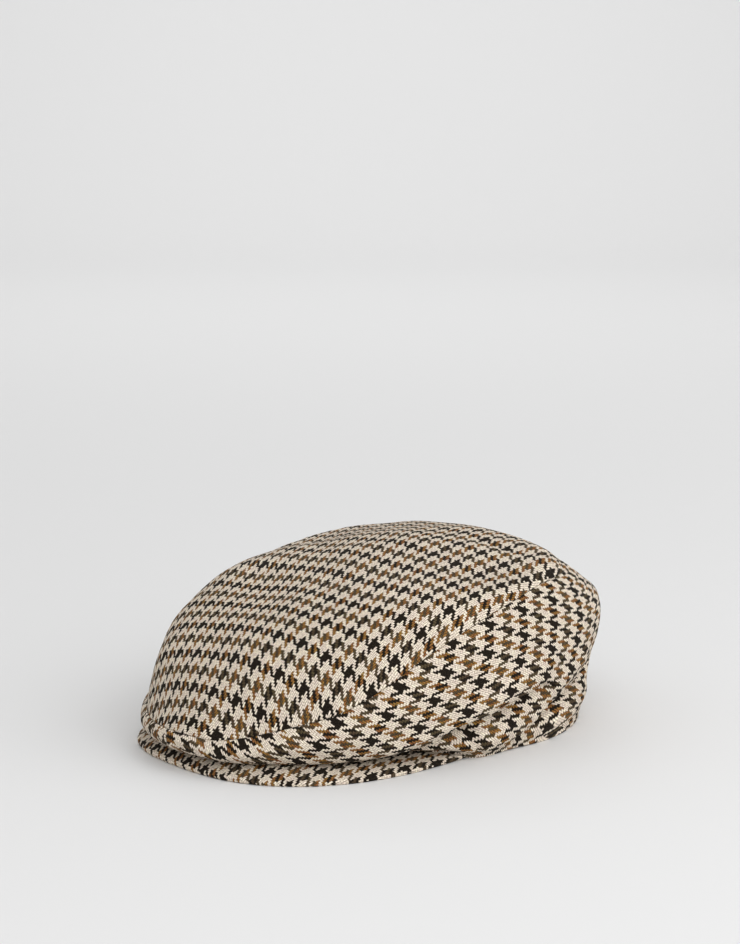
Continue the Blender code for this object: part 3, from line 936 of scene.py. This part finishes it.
def houndstooth_material():
    """Two-and-two twill of wool yarn in bands, coloured and raised thread by thread, with painted shade in
    the gaps between threads.
    """
    material = bpy.data.materials.new("houndstooth_wool")
    material.use_nodes = True
    tree = material.node_tree
    shader = tree.nodes["Principled BSDF"]
    graph = Graph(tree)
    place = graph.node("ShaderNodeUVMap", uv_map="threads").outputs[0]
    drift = graph.noise(place, DRIFT_SCALE, output="Color")
    shake = graph.noise(place, SHAKE_SCALE, output="Color")
    place_parts, drift_parts, shake_parts = (
        graph.node("ShaderNodeSeparateXYZ", (source,)).outputs for source in (place, drift, shake)
    )
    wander = []
    for axis in (0, 1):
        drifted = graph.math("MULTIPLY", graph.centred(drift_parts[axis]), YARN_DRIFT)
        moved = graph.varied(drifted, graph.centred(shake_parts[axis]), YARN_SHAKE)
        wander.append(graph.math("ADD", place_parts[axis], moved))

    # Which thread is met each way, where in its width, and which of the two is on top in the twill
    first, second = (graph.math("FLOOR", value) for value in wander)
    first_part, second_part = (graph.math("FRACT", value) for value in wander)
    step = graph.math("FLOORED_MODULO", graph.math("ADD", first, second), TWILL_REPEAT)
    on_top = graph.math("LESS_THAN", step, FLOAT_THREADS - 0.5)

    # Colours of the threads, mixed with their flecks
    fleck = graph.varied(0.5, graph.centred(graph.noise(place, HEATHER_SCALE)), FLECK_CONTRAST)
    fleck = graph.node("ShaderNodeClamp", (fleck,)).outputs[0]
    warp = yarn_colour(graph, first, fleck, WARP_COLOURS, WARP_FLECKS)
    weft = yarn_colour(graph, second, fleck, WEFT_COLOURS, WEFT_FLECKS)
    yarn = graph.colour(on_top, weft, warp)

    # Height of the thread on top: round across it, and bowed along each float over two others
    across = graph.blend(on_top, second_part, first_part)
    warp_along = graph.math("ADD", step, second_part)
    weft_along = graph.math("ADD", graph.math("SUBTRACT", step, FLOAT_THREADS), first_part)
    along = graph.math("MULTIPLY", graph.blend(on_top, weft_along, warp_along), 1 / FLOAT_THREADS)
    bow = graph.varied(1 - FLOAT_BOW_SHARE, graph.arch(along), FLOAT_BOW_SHARE)
    ridge = graph.math("MULTIPLY", graph.math("SQRT", graph.arch(across)), bow)

    # Tone of each length of yarn, its fibres and the cloth's patches, with painted shade in the gaps between
    # threads and along the warp cords
    warp_run = graph.vector(
        graph.math("MULTIPLY", first, WARP_TONE_STEP),
        graph.math("MULTIPLY", place_parts[1], TONE_STEP_ALONG),
    )
    weft_run = graph.vector(
        graph.math("MULTIPLY", place_parts[0], TONE_STEP_ALONG),
        graph.math("MULTIPLY", second, WEFT_TONE_STEP),
    )
    runs = {0: on_top, 4: weft_run, 5: warp_run}
    run = graph.node("ShaderNodeMix", runs, data_type="VECTOR").outputs[1]
    yarn_tone = graph.noise(run, 1.0, 1.0)
    fibre = graph.noise(place, FIBRE_SCALE)
    patch = graph.noise(place, PATCH_SCALE)
    tone = graph.varied(TONE_BASE, yarn_tone, YARN_TONE_SPREAD)
    tone = graph.varied(tone, fibre, FIBRE_TONE_SPREAD)
    tone = graph.varied(tone, graph.centred(patch), PATCH_TONE_SPREAD)
    # Painted shade: the colour darkens in the gaps between threads and towards the ends of each float,
    # following the thread's height
    shade = graph.varied(1 - GAP_SHADE, ridge, GAP_SHADE)
    # Painted shade: dark lines in the grooves between neighbouring fore-and-aft threads
    painted_cord_shade = graph.varied(1 - CORD_SHADE, graph.arch(first_part), CORD_SHADE)
    level = graph.math("MULTIPLY", graph.math("MULTIPLY", tone, shade), painted_cord_shade)
    hue = graph.varied(0.5, graph.centred(yarn_tone), YARN_HUE_SPREAD)
    yarn = graph.node("ShaderNodeHueSaturation", {"Hue": hue, "Color": yarn}).outputs[0]
    colour = graph.colour(1.0, yarn, graph.vector(level, level, level), "MULTIPLY")
    fluff = graph.math("MULTIPLY", graph.noise(place, FLUFF_SCALE), FLUFF_SHARE)
    colour = graph.colour(fluff, colour, FLUFF_COLOUR)

    height = graph.varied(ridge, fibre, FIBRE_RELIEF_SHARE)
    bump = graph.node("ShaderNodeBump", {"Strength": 1.0, "Distance": YARN_RELIEF, "Height": height})
    graph.put(colour, shader.inputs["Base Color"])
    graph.put(bump.outputs[0], shader.inputs["Normal"])
    graph.put(graph.varied(ROUGHNESS_BASE, fibre, ROUGHNESS_SPREAD), shader.inputs["Roughness"])
    shader.inputs["Specular IOR Level"].default_value = WOOL_SPECULAR
    shader.inputs["Sheen Weight"].default_value = SHEEN_WEIGHT
    shader.inputs["Sheen Roughness"].default_value = SHEEN_ROUGHNESS
    shader.inputs["Sheen Tint"].default_value = SHEEN_TINT
    return material


def paper_material():
    """Smooth paper of the studio floor, with a trace of grain."""
    material = bpy.data.materials.new("studio_paper")
    material.use_nodes = True
    graph = Graph(material.node_tree)
    shader = material.node_tree.nodes["Principled BSDF"]
    place = graph.node("ShaderNodeTexCoord").outputs["Object"]
    grain = graph.noise(place, FLOOR_GRAIN_SCALE, 1.0)
    roughness = graph.varied(FLOOR_ROUGHNESS, grain, FLOOR_ROUGHNESS_SPREAD)
    shader.inputs["Base Color"].default_value = FLOOR_COLOUR
    shader.inputs["Specular IOR Level"].default_value = FLOOR_SPECULAR
    graph.put(roughness, shader.inputs["Roughness"])
    return material


def away_from_camera():
    """Level direction in which the camera looks."""
    return Vector((-math.sin(CAMERA_AZIMUTH), math.cos(CAMERA_AZIMUTH), 0))


def make_floor():
    """Pale floor that sweeps up into a backdrop behind the cap."""
    away = away_from_camera()
    beside = Vector((away.y, -away.x, 0))
    profile = [(-FLOOR_FRONT, 0.0), (FLOOR_BACK, 0.0)]
    for step in range(1, SWEEP_STEPS + 1):
        angle = math.pi / 2 * step / SWEEP_STEPS
        height = SWEEP_RADIUS * (1 - math.cos(angle))
        profile.append((FLOOR_BACK + SWEEP_RADIUS * math.sin(angle), height))
    profile.append((FLOOR_BACK + SWEEP_RADIUS, BACKDROP_HEIGHT))
    points = []
    for distance, height in profile:
        for side in (-1, 1):
            edge = beside * side * FLOOR_HALF_WIDTH
            points.append(away * distance + edge + Vector((0, 0, height)))
    faces = [[2 * row, 2 * row + 1, 2 * row + 3, 2 * row + 2] for row in range(len(profile) - 1)]
    mesh = bpy.data.meshes.new("studio_floor")
    mesh.from_pydata([tuple(point) for point in points], [], faces)
    for polygon in mesh.polygons:
        polygon.use_smooth = True
    floor = bpy.data.objects.new("studio_floor", mesh)
    bpy.context.scene.collection.objects.link(floor)
    floor.data.materials.append(paper_material())


def make_camera():
    """Camera at the photograph's angle, level from side to side."""
    position = Vector((
        CAMERA_DISTANCE * math.sin(CAMERA_AZIMUTH) * math.cos(CAMERA_ELEVATION),
        -CAMERA_DISTANCE * math.cos(CAMERA_AZIMUTH) * math.cos(CAMERA_ELEVATION),
        CAMERA_TARGET_HEIGHT + CAMERA_DISTANCE * math.sin(CAMERA_ELEVATION),
    ))
    focal_pixels = CAMERA_LENS / CAMERA_SENSOR * PHOTO_HEIGHT
    pitch = CAMERA_ELEVATION - math.atan((TARGET_PIXEL_ROW - PHOTO_HEIGHT / 2) / focal_pixels)
    data = bpy.data.cameras.new("camera")
    data.lens = CAMERA_LENS
    data.sensor_width = CAMERA_SENSOR
    data.sensor_fit = "AUTO"
    data.clip_end = CAMERA_REACH
    camera = bpy.data.objects.new("camera", data)
    camera.location = position
    camera.rotation_euler = (math.pi / 2 - pitch, 0, CAMERA_AZIMUTH)
    bpy.context.scene.collection.objects.link(camera)
    bpy.context.scene.camera = camera


def add_light(name, azimuth, elevation, distance, aim_behind, size, power):
    """Soft square lamp that looks at the cap or at the floor behind it."""
    data = bpy.data.lights.new(name, "AREA")
    data.shape = "SQUARE"
    data.size = size
    data.energy = power
    light = bpy.data.objects.new(name, data)
    turn = math.radians(azimuth)
    rise = math.radians(elevation)
    level = math.cos(rise)
    direction = Vector((math.sin(turn) * level, -math.cos(turn) * level, math.sin(rise)))
    light.location = direction * distance
    backward = light.location - away_from_camera() * aim_behind
    light.rotation_euler = backward.to_track_quat("Z", "Y").to_euler()
    bpy.context.scene.collection.objects.link(light)


def make_light():
    """Even studio light: a bright surround and large soft lamps."""
    world = bpy.data.worlds.new("studio")
    world.use_nodes = True
    background = world.node_tree.nodes["Background"]
    background.inputs["Color"].default_value = (1, 1, 1, 1)
    background.inputs["Strength"].default_value = WORLD_STRENGTH
    bpy.context.scene.world = world
    bpy.context.scene.view_settings.view_transform = "Standard"
    for row in LIGHTS:
        add_light(*row)


def main():
    """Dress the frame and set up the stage."""
    cloth = houndstooth_material()
    pieces = [
        (make_top_panel(), "top_panel"),
        (make_side_panel("side_panel_left_cloth", 1, LEFT_PULLS, LEFT_THREAD_SHIFT), "side_panel_left"),
        (make_side_panel("side_panel_right_cloth", -1, [], RIGHT_THREAD_SHIFT), "side_panel_right"),
        (make_peak(), "peak"),
    ]
    for piece, node in pieces:
        piece.data.materials.append(cloth)
        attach(piece, "root")
        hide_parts(node)
    make_floor()
    make_camera()
    make_light()


main()
